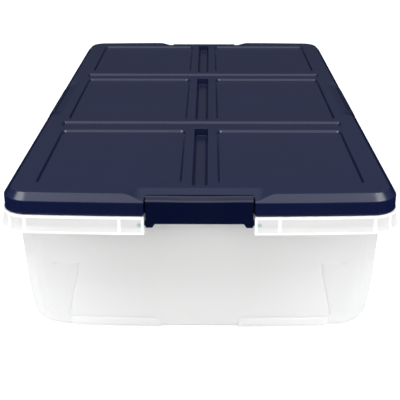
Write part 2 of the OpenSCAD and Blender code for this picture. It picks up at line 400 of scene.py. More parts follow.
def top_depths(kind, c):
    """How far in the lines along the lid's flat top are at this place on its edge."""
    room = SCOOP_ROOM * (1.0 - float(smooth((c - 90.0) / 70.0))) if kind == "end" else 0.0
    spread = TOP_INSETS[0] - TOP_INSETS[-1]
    return [wall_depth(kind, c, inset + room * (inset - TOP_INSETS[-1]) / spread) for inset in TOP_INSETS]


def lid_column(kind, c, notched, pull):
    """Section of the lid from its flat top over the edge and back under it to the flat underside.
    pull rounds the upright edges of a notch."""
    top = top_depths(kind, c)
    column = [place(kind, c, d, TOP_Z - scoop(kind, c, d)) for d in top]

    cut = 0.0
    if kind != "corner" and not notched:
        cut = SKIRT_CUT * (1.0 - float(smooth((c - notch_half(kind)) / 3.0)))
    start = NOTCH_DEPTH + 1.7
    if notched:
        d = NOTCH_DEPTH
        edge_z = TOP_Z - scoop(kind, c, d)
        outer = [(start, TOP_Z - scoop(kind, c, start), 0), (d, edge_z, 0.7), (d, TOP_Z - 9.5, 0),
                 (d, SKIRT_Z + BEAD_H + BEAD_STEP, 0), (d, SKIRT_Z + BEAD_H, 0), (d, SKIRT_Z, 0.4),
                 (d + 0.8, SKIRT_Z, 0)]
    else:
        d = bevel_meets(kind, c, 0.0)
        low = SKIRT_Z + cut
        outer = [(start, TOP_Z - scoop(kind, c, start), 0),
                 (d + pull, TOP_Z - scoop(kind, c, d) - pull, 1.3),
                 (pull, TOP_Z - BEVEL - pull / 2, 1.2), (pull, low + BEAD_H + BEAD_STEP, 0.3),
                 (pull - BEAD_STEP, low + BEAD_H, 0.3), (pull - BEAD_STEP, low, 0.5), (pull + 0.8, low, 0)]
    column += [place(kind, c, d, z) for d, z in rounded(outer, 4)]

    shifted = c                 # the inner face of a notch stands further along than its outer one
    if kind != "corner":
        shifted = c + LID_T * (1.0 - float(smooth(abs(c - notch_half(kind)) / 12.0)))
        if c == 0.0:
            shifted = 0.0

    def under(d):
        return SEAT_Z - scoop(kind, c, d)

    behind = NOTCH_DEPTH + LID_T
    last = behind + 2.0
    if notched:
        inner = [(behind, SKIRT_Z, 0), (behind, SKIRT_Z + 6, 0), (behind, under(behind), 0.7)]
    else:
        d = bevel_meets(kind, c, LID_T)
        inner = [(LID_T, SKIRT_Z + cut, 0), (LID_T, TOP_Z - BEVEL - 0.4 * LID_T, 1.0), (d, under(d), 1.0)]
    inner += [(last, under(last), 0)]
    column += [place(kind, shifted, d, z) for d, z in rounded(inner)]

    rib_out = wall_depth(kind, shifted, LOCATING_OUT)
    rib_in = wall_depth(kind, shifted, LOCATING_IN)
    rib_z = SEAT_Z - LOCATING_H
    rib = [(rib_out - 0.8, under(rib_out), 0), (rib_out, under(rib_out), 0.4), (rib_out, rib_z, 0.5),
           (rib_in, rib_z, 0.5), (rib_in, under(rib_in), 0.4), (rib_in + 0.8, under(rib_in), 0)]
    column += [place(kind, shifted, d, z) for d, z in rounded(rib, 2)]
    column += [place(kind, shifted, d, under(d)) for d in top_depths(kind, shifted)[-3::-1]]
    return column


def lid_stations(kind):
    """Places along one side, from its middle outward, as (c, notched, pull)."""
    half = notch_half(kind)
    last = JOIN_X if kind == "end" else CORNER_Y
    bend = 165.0 if kind == "end" else 338.0
    stations = [(c, True, 0.0) for c in np.linspace(0.0, half - 6, 7)]
    stations += [(half - s, True, 0.0) for s in (3.5, 2.0, 1.0, 0.4, 0.0)]
    stations += [(half + s, False, pull) for s, pull in NOTCH_EDGE]
    stations += [(half + s, False, 0.0) for s in (1.1, 1.8, 2.6, 3.5)]
    stations += [(half + s, False, 0.0) for s in np.linspace(5.5, SCOOP_FADE + 1.5, 15)]
    stations += [(c, False, 0.0) for c in np.linspace(half + SCOOP_FADE + 8, bend, 8)]
    stations += [(c, False, 0.0) for c in np.linspace(bend + 4, last, 8)]
    return stations


def lid_quarter():
    quarter = [lid_column("side", *station) for station in lid_stations("side")]
    quarter += [lid_column("corner", CORNER_TURN * k / CORNER_STEPS, False, 0.0)
                for k in range(1, CORNER_STEPS)]
    quarter += [lid_column("end", *station) for station in reversed(lid_stations("end"))]
    return quarter


def tray_loops(skin, x0, x1, y0, y1, depth, lean, r, z0, wall=EDGE_R):
    """Loops of a recess with leaning walls, from its rim at z0 down to its floor."""
    section = rounded([(1.3 * wall, z0, 0), (0, z0, wall), (-lean, z0 - depth, wall),
                       (-lean - 1.3 * wall, z0 - depth, 0)], 4)
    loops = []
    for out, z in section:
        outline = round_rect(x0 - out, x1 + out, y0 - out, y1 + out, r + out)
        loops.append(skin.add([(x, y, z) for x, y in outline]))
    for a, b in zip(loops, loops[1:]):
        skin.band(a, b)
    skin.cap(loops[-1])
    return loops[0]


def lid_trays(skin, z0, grow):
    """All the lid's recesses, or the bosses they make below it when grow is the plastic around them."""
    (near, far), (groove_near, groove_far) = OUTER_PANEL_Y, GROOVE_Y
    panels = [(*PANEL_X, -MIDDLE_PANEL_Y, MIDDLE_PANEL_Y), (*PANEL_X, near, far), (*PANEL_X, -far, -near)]
    panels += [(-x1, -x0, y0, y1) for x0, x1, y0, y1 in panels]
    grooves = [(-GROOVE_X, GROOVE_X, groove_near, groove_far),
               (-GROOVE_X, GROOVE_X, -groove_far, -groove_near)]
    channels = [(-CHANNEL_HALF, CHANNEL_HALF, y0, y1) for y0, y1 in CHANNEL_SPANS]
    trays = [(panel, PANEL_DEPTH, PANEL_LEAN, PANEL_R) for panel in panels]
    trays += [(groove, PANEL_DEPTH, PANEL_LEAN, GROOVE_R) for groove in grooves]
    trays += [(channel, CHANNEL_DEPTH, CHANNEL_LEAN, CHANNEL_R) for channel in channels]
    return [tray_loops(skin, x0 - grow, x1 + grow, y0 - grow, y1 + grow, depth, lean, r + grow, z0)
            for (x0, x1, y0, y1), depth, lean, r in trays]


def build_lid():
    skin = Skin()
    top_loop, under_loop = skin.grid(all_round(lid_quarter()))
    skin.flat_fill(top_loop, lid_trays(skin, TOP_Z, 0.0))
    skin.flat_fill(under_loop, lid_trays(skin, SEAT_Z, 0.6 * LID_T))
    return skin.make("lid_shell")


# ---- tub ---------------------------------------------------------------------------------------------

WALL_LEVELS = (15.8, 16.8, 17.6, 18.6, 20.5, 24.0, 29.0, 35.0, 42.0, 49.0, 56.0, 64.0, 72.0, 82.0, 90.0,
               92.1, 92.9, 95.0, 105.0, 120.0, 132.0)


def foot_strip(kind, c, z):
    """1 on the toe strips at the foot of each end wall, 0 off them, with a soft step between."""
    if kind != "end":
        return 0.0
    across = abs(c - (FOOT_X[0] + FOOT_X[1]) / 2) - (FOOT_X[1] - FOOT_X[0]) / 2 + FOOT_R
    up = z - FOOT_UP + FOOT_R
    away = math.hypot(max(across, 0.0), max(up, 0.0)) + min(max(across, up), 0.0) - FOOT_R
    return float(smooth(0.5 - away))


def lean_along(c, z):
    """The reliefs' inner edges slant, so the stations near them follow the slant."""
    weight = float(1.0 - smooth((abs(c - RELIEF_X) - 3.0) / 32.0))
    slant = RELIEF_SLANT - 2 * RELIEF_SLANT * (z - RELIEF_LOW) / (RELIEF_HIGH - RELIEF_LOW)
    slant = min(max(slant, -RELIEF_SLANT), RELIEF_SLANT)
    if z < RELIEF_LOW:
        slant *= max(z, 0.0) / RELIEF_LOW
    slant *= float(1.0 - smooth((z - 95.0) / 30.0))
    return c + weight * slant


def relief(kind, c, z):
    if kind != "end":
        return 0.0
    across = smooth((c - RELIEF_X + 0.4) / 0.8) * (1.0 - smooth((c - 160.0) / 26.0))
    up = (1.0 - smooth((z - RELIEF_TOP + 0.4) / 0.8)) * smooth((z - 18.0) / 5.0)
    return float(RELIEF * across * up)


def wall_inset(z, skin_depth):
    """Inset of the leaning wall at this height; skin_depth is 0 outside and WALL_T inside."""
    foot = FOOT_H + FLOOR_R
    lean = WALL_DRAFT * (LIP_Z - z) / (LIP_Z - foot)
    return WALL_INSET + skin_depth + min(max(lean, 0.0), WALL_DRAFT)


def inward_from(p):
    """The way a column of the tub's wall leans in from p: straight in, and towards a point in a corner."""
    corner_x = HALF_W - SWING_R
    corner_y = HALF_L - bow(corner_x) - SWING_R
    away = np.array((max(p[0] - corner_x, 0.0), max(p[1] - corner_y, 0.0)))
    if away[0] == 0.0:
        away = np.array((2 * END_BOW * p[0] / HALF_W ** 2, 1.0))
    return -away / np.linalg.norm(away)


def wall_point(kind, c, inset, z, shift=0.0):
    moved = lean_along(c, z) if kind == "end" else c
    start, normal = edge(kind, moved)
    top = start - normal * wall_depth(kind, moved, WALL_INSET)
    inward = inward_from(top)
    x, y = top + inward * (meets_wall(top, inward, inset, z) + shift)
    return (max(x, 0.0), max(y, 0.0), z)


def tub_column(kind, c, ceiling, gap, pull):
    """Section of the tub from its underside up the outside, round the rim and down the inside.
    ceiling is how high the hollow behind the rim reaches; ribs and cheeks fill it. gap is where a latch
    takes the rim's place, and pull rounds the upright edges beside it."""
    column = [wall_point(kind, c, FLOOR_LOOP, FOOT_H)]
    strip = foot_strip(kind, c, 0.0)
    for inset in (FLOOR_LOOP - 1.2, WALL_INSET + WALL_DRAFT + FLOOR_R + 1.5):
        column.append(wall_point(kind, c, inset, FOOT_H * (1 - strip)))
    for k in range(9):
        a = math.radians(90 * k / 8)
        z = FOOT_H + FLOOR_R * (1 - math.cos(a))
        strip = foot_strip(kind, c, z)
        inset = WALL_INSET + WALL_DRAFT + FLOOR_R * (1 - math.sin(a))
        column.append(wall_point(kind, c, inset - strip * FOOT_PROUD * math.sin(a),
                                 z - strip * FOOT_H * math.cos(a)))
    for z in WALL_LEVELS:
        inset = wall_inset(z, 0.0) - FOOT_PROUD * foot_strip(kind, c, z)
        column.append(wall_point(kind, c, inset, z, relief(kind, c, z)))

    wall = wall_depth(kind, c, WALL_INSET)
    wall_in = wall_depth(kind, c, WALL_INSET + WALL_T)
    top = SEAT_Z
    if kind != "corner":
        top -= WALL_NOTCH * (1.0 - float(smooth((c - notch_half(kind) - SCOOP_FADE - 2.0) / 6.0)))
    flare = LIP_Z + FLARE_H
    lip = LIP_Z + LIP_H
    lip_line = LIP_Z + LIP_LINE
    lip_line_step = LIP_STEP + (RIM_STEP - LIP_STEP) * (lip_line - lip) / (flare - lip)
    rim_line = RIM_Z - RIM_LINE
    if gap:
        rim = [(wall, LIP_Z, 0)] * 7 + [(wall, z, 0) for z in (lip, lip_line, flare, rim_line, RIM_Z)]
    else:
        inner = RIM_T - RIM_STEP
        inner_lip = RIM_T - LIP_STEP
        rim = [(wall, LIP_Z, 0), (wall, ceiling, 0.6), (inner, ceiling, 0.5),
               (inner, min(flare, ceiling), 2.0), (inner_lip, min(lip, ceiling), 0.8),
               (inner_lip, LIP_Z, 0.3), (pull - LIP_STEP, LIP_Z, 0.5), (pull - LIP_STEP, lip, 0.8),
               (pull - lip_line_step, lip_line, 0.4), (pull - RIM_STEP, flare, 2.0),
               (pull - RIM_STEP, rim_line, 0.4), (pull - RIM_STEP, RIM_Z, 0.7)]
    rim += [(wall, RIM_Z, 0.5), (wall, top, 0.5), (wall_in, top, 0.5), (wall_in, RIM_Z, 0)]
    column += [place(kind, c, d, z) for d, z in rounded(rim)]

    column.append(wall_point(kind, c, WALL_INSET + WALL_T, LIP_Z))
    for z in reversed(WALL_LEVELS):
        column.append(wall_point(kind, c, wall_inset(z, WALL_T), z, relief(kind, c, z)))
    r = FLOOR_R - WALL_T
    for k in range(8, -1, -1):
        a = math.radians(90 * k / 8)
        inset = WALL_INSET + WALL_DRAFT + WALL_T + r * (1 - math.sin(a))
        column.append(wall_point(kind, c, inset, FOOT_H + WALL_T + r * (1 - math.cos(a))))
    column.append(wall_point(kind, c, FLOOR_LOOP - 4, FOOT_H + WALL_T))
    return column


OPEN_CEILING = RIM_Z - FLANGE_T
RIB_CEILING = LIP_Z + FLARE_H


def tub_stations(kind):
    """Places along one side, from its middle outward, as (c, ceiling, gap, pull)."""
    half = notch_half(kind)
    last = JOIN_X if kind == "end" else CORNER_Y
    ribs = END_RIBS if kind == "end" else SIDE_RIBS
    cheek = half + CHEEK_T
    stations = [(c, LIP_Z, True, 0.0) for c in np.linspace(0.0, half, 9)]
    if kind == "end":           # at the toe strips' inner edges
        stations += [(c, LIP_Z, True, 0.0) for c in (46.8, 47.5, 48.0, 48.5, 49.2, 50.2, 51.5, 53.0, 55.0)]
    stations += [(half + s, LIP_Z, False, pull) for s, pull in NOTCH_EDGE]
    stations += [(cheek, LIP_Z, False, 0.0), (cheek, OPEN_CEILING, False, 0.0)]
    stations += [(cheek + 0.8, OPEN_CEILING, False, 0.0)]
    for rib in ribs:
        low, high = rib - RIB_T / 2, rib + RIB_T / 2
        stations += [(low, OPEN_CEILING, False, 0.0), (low, RIB_CEILING, False, 0.0),
                     (high, RIB_CEILING, False, 0.0), (high, OPEN_CEILING, False, 0.0)]
        stations += [(rib + s, OPEN_CEILING, False, 0.0) for s in (-2.4, -1.4, 1.4, 2.4)]
    more = list(np.linspace(half + SCOOP_FADE + 2, half + SCOOP_FADE + 8, 5))
    if kind == "end":           # closest at the toe strips' outer edges and the reliefs
        more += [120, 126, 132, 138, 144, 148, 150.5, 152, 152.6, 153.0, 153.4, 154.2, 154.8, 155.3, 156,
                 158, 161, 165, 168, 171, 174, 177, 180, 184, 187]
    else:
        more += [130, 155, 205, 235, 300, 325, 338, 341, 344, 347, 350, 353, 356]
    more += [last]
    taken = [s[0] for s in stations]
    stations += [(c, OPEN_CEILING, False, 0.0) for c in more if min(abs(c - t) for t in taken) > 0.05]
    return sorted(stations, key=lambda s: s[0])


def tub_quarter():
    quarter = [tub_column("side", *station) for station in tub_stations("side")]
    turns = [CORNER_TURN * k / CORNER_STEPS for k in range(1, CORNER_STEPS) if k != CORNER_RIB_STEP]
    rib = RIB_T / 2 / (CORNER_R + RIM_STEP)
    turns += [CORNER_RIB + s * rib for s in (-3.0, -1.8, 1.8, 3.0)]
    corner = [(turn, OPEN_CEILING, False, 0.0) for turn in turns]
    low, high = CORNER_RIB - rib, CORNER_RIB + rib
    corner += [(low, OPEN_CEILING, False, 0.0), (low, RIB_CEILING, False, 0.0),
               (high, RIB_CEILING, False, 0.0), (high, OPEN_CEILING, False, 0.0)]
    quarter += [tub_column("corner", *station) for station in sorted(corner, key=lambda s: s[0])]
    quarter += [tub_column("end", *station) for station in reversed(tub_stations("end"))]
    return quarter


def build_tub():
    skin = Skin()
    under_loop, floor_loop = skin.grid(all_round(tub_quarter()))
    pads = []
    for sx in (-1, 1):
        for sy in (-1, 1):
            xs = sorted((sx * FOOT_X[0], sx * FOOT_X[1]))
            ys = sorted((sy * FOOT_Y, sy * (HALF_L - FLOOR_LOOP - 6)))
            pads.append(tray_loops(skin, *xs, *ys, FOOT_H, 0.8, FOOT_R, FOOT_H, 0.5))
    skin.flat_fill(under_loop, pads)
    skin.flat_fill(floor_loop, [])
    return skin.make("tub_shell")


def painted_light_and_thickness(x, y, z):
    """From 0 for a thin single wall to 1 where ribs, cheeks and the rim's top and foot make the plastic
    thick; these marks also stand for painted edge glow. Along the reliefs' edges it paints highlights, and
    over the walls a painted light gradient, lighter towards the corners and the foot and darker up under the
    lid.
    """
    x, y = abs(x), abs(y)
    if y < CORNER_Y:
        c, ribs, half = y, SIDE_RIBS, SIDE_NOTCH
    elif x < JOIN_X:
        c, ribs, half = x, END_RIBS[:1], END_NOTCH
    else:
        c = math.atan2(y - CORNER_Y, x - HALF_W + CORNER_R) * CORNER_R
        ribs, half = (CORNER_RIB * CORNER_R, (CORNER_TURN - 0.05) * CORNER_R), -10.0
    # rim's top and foot, cheeks and ribs: real thick plastic, painted whiter also as edge glow
    if z > LIP_Z - 0.5 and outside_wall((x, y), WALL_INSET - 0.6, z) > 0:
        if z > RIM_Z - RIM_LINE - 0.1 or z < LIP_Z + LIP_LINE + 0.1 or c < half + CHEEK_T + 0.1:
            return 1.0
        return 0.9 if min(abs(c - rib) for rib in ribs) < 1.6 else 0.0
    # painted light gradient: lighter towards the corners and the foot, darker up under the lid; the corners
    # are partly really thicker
    towards_corner = (x - 50.0) / 140.0 if y > CORNER_Y else (y - 230.0) / 140.0
    painted_light_and_corner_thickness = 0.4 * float(smooth(towards_corner)) + 0.35 * float(smooth((100.0 - z) / 90.0))
    # painted highlights along the reliefs' slanted edge and ledge
    if y > CORNER_Y and 20 < z < RELIEF_TOP + 1.5 and outside_wall((x, y), WALL_INSET, z) > -9.0:
        if abs(x - lean_along(RELIEF_X, z)) < 0.7 and z < RELIEF_TOP:
            return 0.55
        if abs(z - RELIEF_TOP) < 0.6 and RELIEF_X - 6 < x < 176:
            return 0.4 * float(smooth((178.0 - x) / 14.0))
    return painted_light_and_corner_thickness


def mark_painted_light_and_thickness(tub):
    """Stores the plastic's thickness, with the painted edge glow, highlights and light gradient, on the tub's
    points, for its material to read.
    """
    # the attribute is named thickness but also carries painted highlights, edge glow and a painted light
    # gradient
    marks = tub.data.attributes.new("thickness", "FLOAT", "POINT")
    for vertex, mark in zip(tub.data.vertices, marks.data):
        mark.value = painted_light_and_thickness(*(vertex.co / MM))


# ---- latches -----------------------------------------------------------------------------------------


def latch_section(kind, dent, level):
    """Closed section of a latch, (y out from the skirt's face, z from the lid's top, radius). Where level
    is given, the hook is flat on top, that far below the lid's top; otherwise it is stepped."""
    front = LATCH_PROUD
    back = LATCH_PROUD - LATCH_T
    bottom = -FACE_DROP
    tab_bottom = -PIVOT_DROP - BOSS_R
    if kind in ("tab", "flap"):
        bottom = tab_bottom
    boss_back = -PIVOT_IN - BOSS_R
    boss_top = -PIVOT_DROP + BOSS_R
    tab = kind == "tab"
    web = kind == "web"
    if level is None:
        tip, tip_z = -HOOK_REACH, -HOOK_DROP
        hook = [(tip, tip_z, 0.6), (tip + 1.1, tip_z - 2.3 - 0.5 * dent, 1.0),
                (-1.2, FACE_TOP + 1.9 - dent, 0.7), (front, FACE_TOP, 0.9)]
    else:
        tip, tip_z = -LEVEL_HOOK_REACH, -level
        hook = [(tip, tip_z, 0.4), (tip + 2.4, tip_z, 1.2), (front, -BEVEL, 0.8)]
    return hook + [
            (front, bottom, 0.9),
            (boss_back if tab else back, tab_bottom if tab else bottom, 4.0 if tab else 0.6),
            (boss_back if tab else back, boss_top if tab else bottom + 1.6, 4.0 if tab else 0.0),
            (back, boss_top, 1.0 if tab else 0.0),
            (back, WEB_FOOT, 0.0),
            (back - WEB_DEPTH if web else back, WEB_FOOT if web else WEB_FOOT + 1.0, 0.4 if web else 0.0),
            (back - WEB_DEPTH if web else back, -BEVEL - LATCH_T / 2, 0.6),
            (tip, tip_z - HOOK_T, 0.5)]


def closed_section(corners, steps=3):
    wrapped = [corners[-1]] + corners + [corners[0]]
    return np.array(rounded(wrapped, steps)[1:-1])


def drawn_in(corners, pull):
    """The same corners moved in by pull, keeping every face parallel, for the rounded ends."""
    p = np.array([corner[:2] for corner in corners], float)
    before = p - np.roll(p, 1, axis=0)
    after = np.roll(p, -1, axis=0) - p
    area = np.sum(p[:, 0] * np.roll(p[:, 1], -1) - np.roll(p[:, 0], -1) * p[:, 1])
    turn = np.array(((0.0, 1.0), (-1.0, 0.0))) * math.copysign(1.0, area)
    n1 = before / np.linalg.norm(before, axis=1, keepdims=True) @ turn
    n2 = after / np.linalg.norm(after, axis=1, keepdims=True) @ turn
    moved = p + pull * (n1 + n2) / (1.0 + np.sum(n1 * n2, axis=1, keepdims=True))
    return [(x, y, corner[2]) for (x, y), corner in zip(moved, corners)]


def latch_columns(half):
    """(x, kind of section, pull) along a latch."""
    columns = [(-half, "tab", 0.45), (-half + 0.1, "tab", 0.22), (-half + 0.5, "tab", 0.0)]
    tab = half - BOSS_L
    columns += [(-tab, "tab", 0.0), (-tab, "flap", 0.0), (-tab + 0.6, "flap", 0.0),
                (-tab + 3.4, "plain", 0.0)]
    webs = int((half - BOSS_L) // WEB_SPACING)
    for i in range(-webs, webs + 1):
        x = i * WEB_SPACING
        low, high = x - WEB_T / 2, x + WEB_T / 2
        columns += [(low, "plain", 0.0), (low, "web", 0.0), (high, "web", 0.0), (high, "plain", 0.0)]
    for x in np.arange(-tab + 9, tab - 8, 6.0):
        if min(abs(x - i * WEB_SPACING) for i in range(-webs, webs + 1)) > 1.5:
            columns.append((x, "plain", 0.0))
    columns += [(tab - 3.4, "plain", 0.0), (tab - 0.6, "flap", 0.0), (tab, "flap", 0.0),
                (tab, "tab", 0.0)]
    columns += [(half - 0.5, "tab", 0.0), (half - 0.1, "tab", 0.22), (half, "tab", 0.45)]
    return sorted(columns, key=lambda c: c[0])


def build_latch(name, half, to_world, level):
    """A latch drawn for the rear end and turned into place by to_world(x, y, z)."""
    skin = Skin()
    columns = []
    for x, kind, pull in latch_columns(half):
        thumb = max(0.0, 1.0 - (x / (0.7 * half)) ** 2)
        corners = latch_section(kind, THUMB_DEPTH * thumb, level)
        section = closed_section(drawn_in(corners, pull) if pull else corners)
        columns.append([(x, y, z) for y, z in section])
    index = [skin.add(column) for column in columns]
    for a, b in zip(index, index[1:]):
        skin.band(a, b)
    for side, loop in ((-1, index[0]), (1, index[-1])):
        pin_section = ((side * half, PIN_R), (side * (half + PIN_REACH - 0.7), PIN_R),
                       (side * (half + PIN_REACH - 0.2), PIN_R - 0.25),
                       (side * (half + PIN_REACH), PIN_R - 0.8))
        rings = []
        for x, r in pin_section:
            turns = np.linspace(0, 2 * math.pi, 33)[:-1]
            ring = [(x, -PIVOT_IN + r * math.cos(t), -PIVOT_DROP + r * math.sin(t)) for t in turns]
            rings.append(skin.add(ring))
        skin.flat_fill(loop, [rings[0]], axes=(1, 2))
        for a, b in zip(rings, rings[1:]):
            skin.band(a, b)
        skin.cap(rings[-1])
    skin.points = [to_world(x, y, z + TOP_Z) for x, y, z in skin.points]
    return skin.make(name)


LATCHES = {
    "latch_front": (END_LATCH, lambda x, y, z: (-x, -HALF_L - y, z)),
    "latch_rear": (END_LATCH, lambda x, y, z: (x, HALF_L + y, z)),
    "latch_left": (SIDE_LATCH, lambda x, y, z: (-HALF_W - y, x, z)),
    "latch_right": (SIDE_LATCH, lambda x, y, z: (HALF_W + y, -x, z)),
}


def bore_pivots(tub):
    """Cuts the bores in the cheeks beside each latch, which the pivot stubs turn in."""
    skin = Skin()
    turns = np.linspace(0, 2 * math.pi, 49)[:-1]
    for name in ("latch_rear", "latch_front", "latch_left", "latch_right"):
        half, to_world = LATCHES[name]
        notch = half + LATCH_GAP
        for side in (-1, 1):
            rings = []
            for x in (side * (notch - 1.0), side * (notch + CHEEK_T + 0.6)):
                ring = [(x, -PIVOT_IN + BORE_R * math.cos(t), TOP_Z - PIVOT_DROP + BORE_R * math.sin(t))
                        for t in turns]
                rings.append(skin.add([to_world(*p) for p in ring]))
            skin.band(*rings)
            skin.cap(rings[0])
            skin.cap(rings[1])
    cutter = skin.make("bores")
    cutter.modifiers.clear()
    cut = tub.modifiers.new("bores", "BOOLEAN")
    cut.object = cutter
    cut.operation = "DIFFERENCE"
    cut.solver = "EXACT"
    tub.modifiers.move(len(tub.modifiers) - 1, 0)
    whole = len(tub.data.polygons)
    baked = bpy.data.meshes.new_from_object(tub.evaluated_get(bpy.context.evaluated_depsgraph_get()))
    tub.modifiers.remove(cut)
    if len(baked.polygons) > whole:
        tub.data = baked
    bpy.data.objects.remove(cutter)


# ---- materials ---------------------------------------------------------------------------------------

LID_NAVY = (0.0024, 0.0056, 0.032)
LID_NAVY_WORN = (0.0028, 0.0063, 0.036)
LATCH_NAVY = (0.0003, 0.0024, 0.020)
LATCH_NAVY_WORN = (0.0005, 0.0029, 0.023)
CLEAR_THIN = (0.657, 0.645, 0.632)
CLEAR_THIN_CLOUDY = (0.685, 0.673, 0.660)
# the milky plastic's whitest colour: for thick plastic, and for the painted highlights, edge glow and lighter
# corners and foot
CLEAR_THICK_AND_PAINTED_LIGHT = (0.95, 0.935, 0.92)
PIVOT_SHADE = (0.36, 0.47, 0.47)
PIVOT_SHOWS_AT = 5.6            # past the end of a latch's place
PIVOT_DARK_R = 1.4              # the dim round is full inside this radius, and gone by the next
PIVOT_FADED_R = 3.2
LID_ROUGHNESS = 0.225
LATCH_ROUGHNESS = 0.22
GRAIN = 0.09                    # strength of the moulded grain
SHARP_ANGLE = math.radians(42)  # edges steeper than this are shaded sharp
NOISE_LOW, NOISE_HIGH = 0.3, 0.7                # most of a noise texture lies between these
MIX_COLOUR_A, MIX_COLOUR_B, MIX_COLOUR_OUT = 6, 7, 2        # colour sockets of a Mix node


class Surface:
    """A Principled material whose node tree is put together call by call."""

    def __init__(self, name):
        self.material = bpy.data.materials.new(name)
        self.material.use_nodes = True
        self.tree = self.material.node_tree
        self.shader = self.tree.nodes["Principled BSDF"]
        self.output = self.tree.nodes["Material Output"]
        self.where = self.tree.nodes.new("ShaderNodeTexCoord").outputs["Object"]

    def noise(self, scale, detail):
        node = self.tree.nodes.new("ShaderNodeTexNoise")
        node.inputs["Scale"].default_value = scale
        node.inputs["Detail"].default_value = detail
        self.tree.links.new(self.where, node.inputs["Vector"])
        return node.outputs["Fac"]

    def between(self, factor, low, high, from_low=NOISE_LOW, from_high=NOISE_HIGH):
        node = self.tree.nodes.new("ShaderNodeMapRange")
        node.inputs["From Min"].default_value = from_low
        node.inputs["From Max"].default_value = from_high
        node.inputs["To Min"].default_value = low
        node.inputs["To Max"].default_value = high
        self.tree.links.new(factor, node.inputs["Value"])
        return node.outputs["Result"]

    def colours(self, factor, first, second):
        ramp = self.tree.nodes.new("ShaderNodeValToRGB")
        ramp.color_ramp.elements[0].color = (*first, 1)
        ramp.color_ramp.elements[1].color = (*second, 1)
        ramp.color_ramp.elements[0].position = NOISE_LOW
        ramp.color_ramp.elements[1].position = NOISE_HIGH
        self.tree.links.new(factor, ramp.inputs["Fac"])
        return ramp.outputs["Color"]

    def bump(self, height, strength, distance, under=None):
        node = self.tree.nodes.new("ShaderNodeBump")
        node.inputs["Strength"].default_value = strength
        node.inputs["Distance"].default_value = distance
        self.tree.links.new(height, node.inputs["Height"])
        if under is not None:
            self.tree.links.new(under, node.inputs["Normal"])
        return node.outputs["Normal"]

    def math(self, operation, *values):
        node = self.tree.nodes.new("ShaderNodeMath")
        node.operation = operation
        for value, socket in zip(values, node.inputs):
            if isinstance(value, bpy.types.NodeSocket):
                self.tree.links.new(value, socket)
            else:
                socket.default_value = value
        return node.outputs["Value"]

    def mix(self, factor, colour, towards):
        """The colour, turned into the fixed one, towards, where factor is 1."""
        node = self.tree.nodes.new("ShaderNodeMix")
        node.data_type = "RGBA"
        self.tree.links.new(factor, node.inputs["Factor"])
        self.tree.links.new(colour, node.inputs[MIX_COLOUR_A])
        node.inputs[MIX_COLOUR_B].default_value = (*towards, 1)
        return node.outputs[MIX_COLOUR_OUT]

    def pivot_shadows(self, colour):
        """Painted shade: the latches' pivots, as if seen dimly through the rim, as small dark rounds."""
        split = self.tree.nodes.new("ShaderNodeSeparateXYZ")
        self.tree.links.new(self.where, split.inputs["Vector"])
        x = self.math("ABSOLUTE", split.outputs["X"])
        y = self.math("ABSOLUTE", split.outputs["Y"])
        z = split.outputs["Z"]
        shade = None
        for along, across, reach, face in ((x, y, END_NOTCH, HALF_L), (y, x, SIDE_NOTCH, HALF_W)):
            near = self.tree.nodes.new("ShaderNodeCombineXYZ")
            self.tree.links.new(self.math("SUBTRACT", along, (reach + PIVOT_SHOWS_AT) * MM), near.inputs["X"])
            self.tree.links.new(self.math("SUBTRACT", z, (TOP_Z - PIVOT_DROP) * MM), near.inputs["Z"])
            length = self.tree.nodes.new("ShaderNodeVectorMath")
            length.operation = "LENGTH"
            self.tree.links.new(near.outputs["Vector"], length.inputs[0])
            disc = self.between(length.outputs["Value"], 1.0, 0.0, PIVOT_DARK_R * MM, PIVOT_FADED_R * MM)
            outside = self.math("GREATER_THAN", across, (face - 1.0) * MM)
            spot = self.math("MULTIPLY", disc, outside)
            shade = spot if shade is None else self.math("MAXIMUM", shade, spot)
        return self.mix(shade, colour, PIVOT_SHADE)

    def set(self, socket, value):
        if isinstance(value, bpy.types.NodeSocket):
            self.tree.links.new(value, self.shader.inputs[socket])
        else:
            self.shader.inputs[socket].default_value = value


def opaque_plastic(name, colour, worn, roughness):
    """Moulded polypropylene: a fine grain, slow waves from cooling, and slightly uneven gloss."""
    s = Surface(name)
    s.set("Base Color", s.colours(s.noise(14.0, 4.0), colour, worn))
    s.set("Roughness", s.between(s.noise(30.0, 5.0), roughness - 0.03, roughness + 0.04))
    waves = s.bump(s.noise(9.0, 2.0), 0.25, 0.0012)
    s.set("Normal", s.bump(s.noise(2600.0, 2.0), GRAIN, 0.00006, waves))
    s.set("IOR", 1.49)
    return s.material


def clear_plastic(name):
    """Natural polypropylene: lets light through but scatters it, so it looks milky. Its colour is painted
    whiter along edges and ribs, partly where the plastic is thick and partly as painted edge glow, along with
    painted highlights and a painted light gradient; the latches' pivots are painted on as dim shade."""
    s = Surface(name)
    thin = s.colours(s.noise(6.0, 3.0), CLEAR_THIN, CLEAR_THIN_CLOUDY)
    # the thickness attribute brings painted highlights, edge glow and a painted light gradient as well as
    # real thickness
    thick = s.tree.nodes.new("ShaderNodeAttribute")
    thick.attribute_name = "thickness"
    s.set("Base Color", s.pivot_shadows(s.mix(thick.outputs["Fac"], thin, CLEAR_THICK_AND_PAINTED_LIGHT)))
    s.set("Roughness", s.between(s.noise(25.0, 4.0), 0.30, 0.38))
    s.set("Sheen Weight", 0.5)
    s.set("Sheen Roughness", 0.35)
    s.set("Sheen Tint", (1.0, 1.0, 1.0, 1.0))
    s.set("Subsurface Weight", 1.0)
    s.set("Subsurface Radius", (1.0, 1.0, 1.0))
    s.set("Subsurface Scale", 0.004)
    s.set("IOR", 1.49)
    return s.material


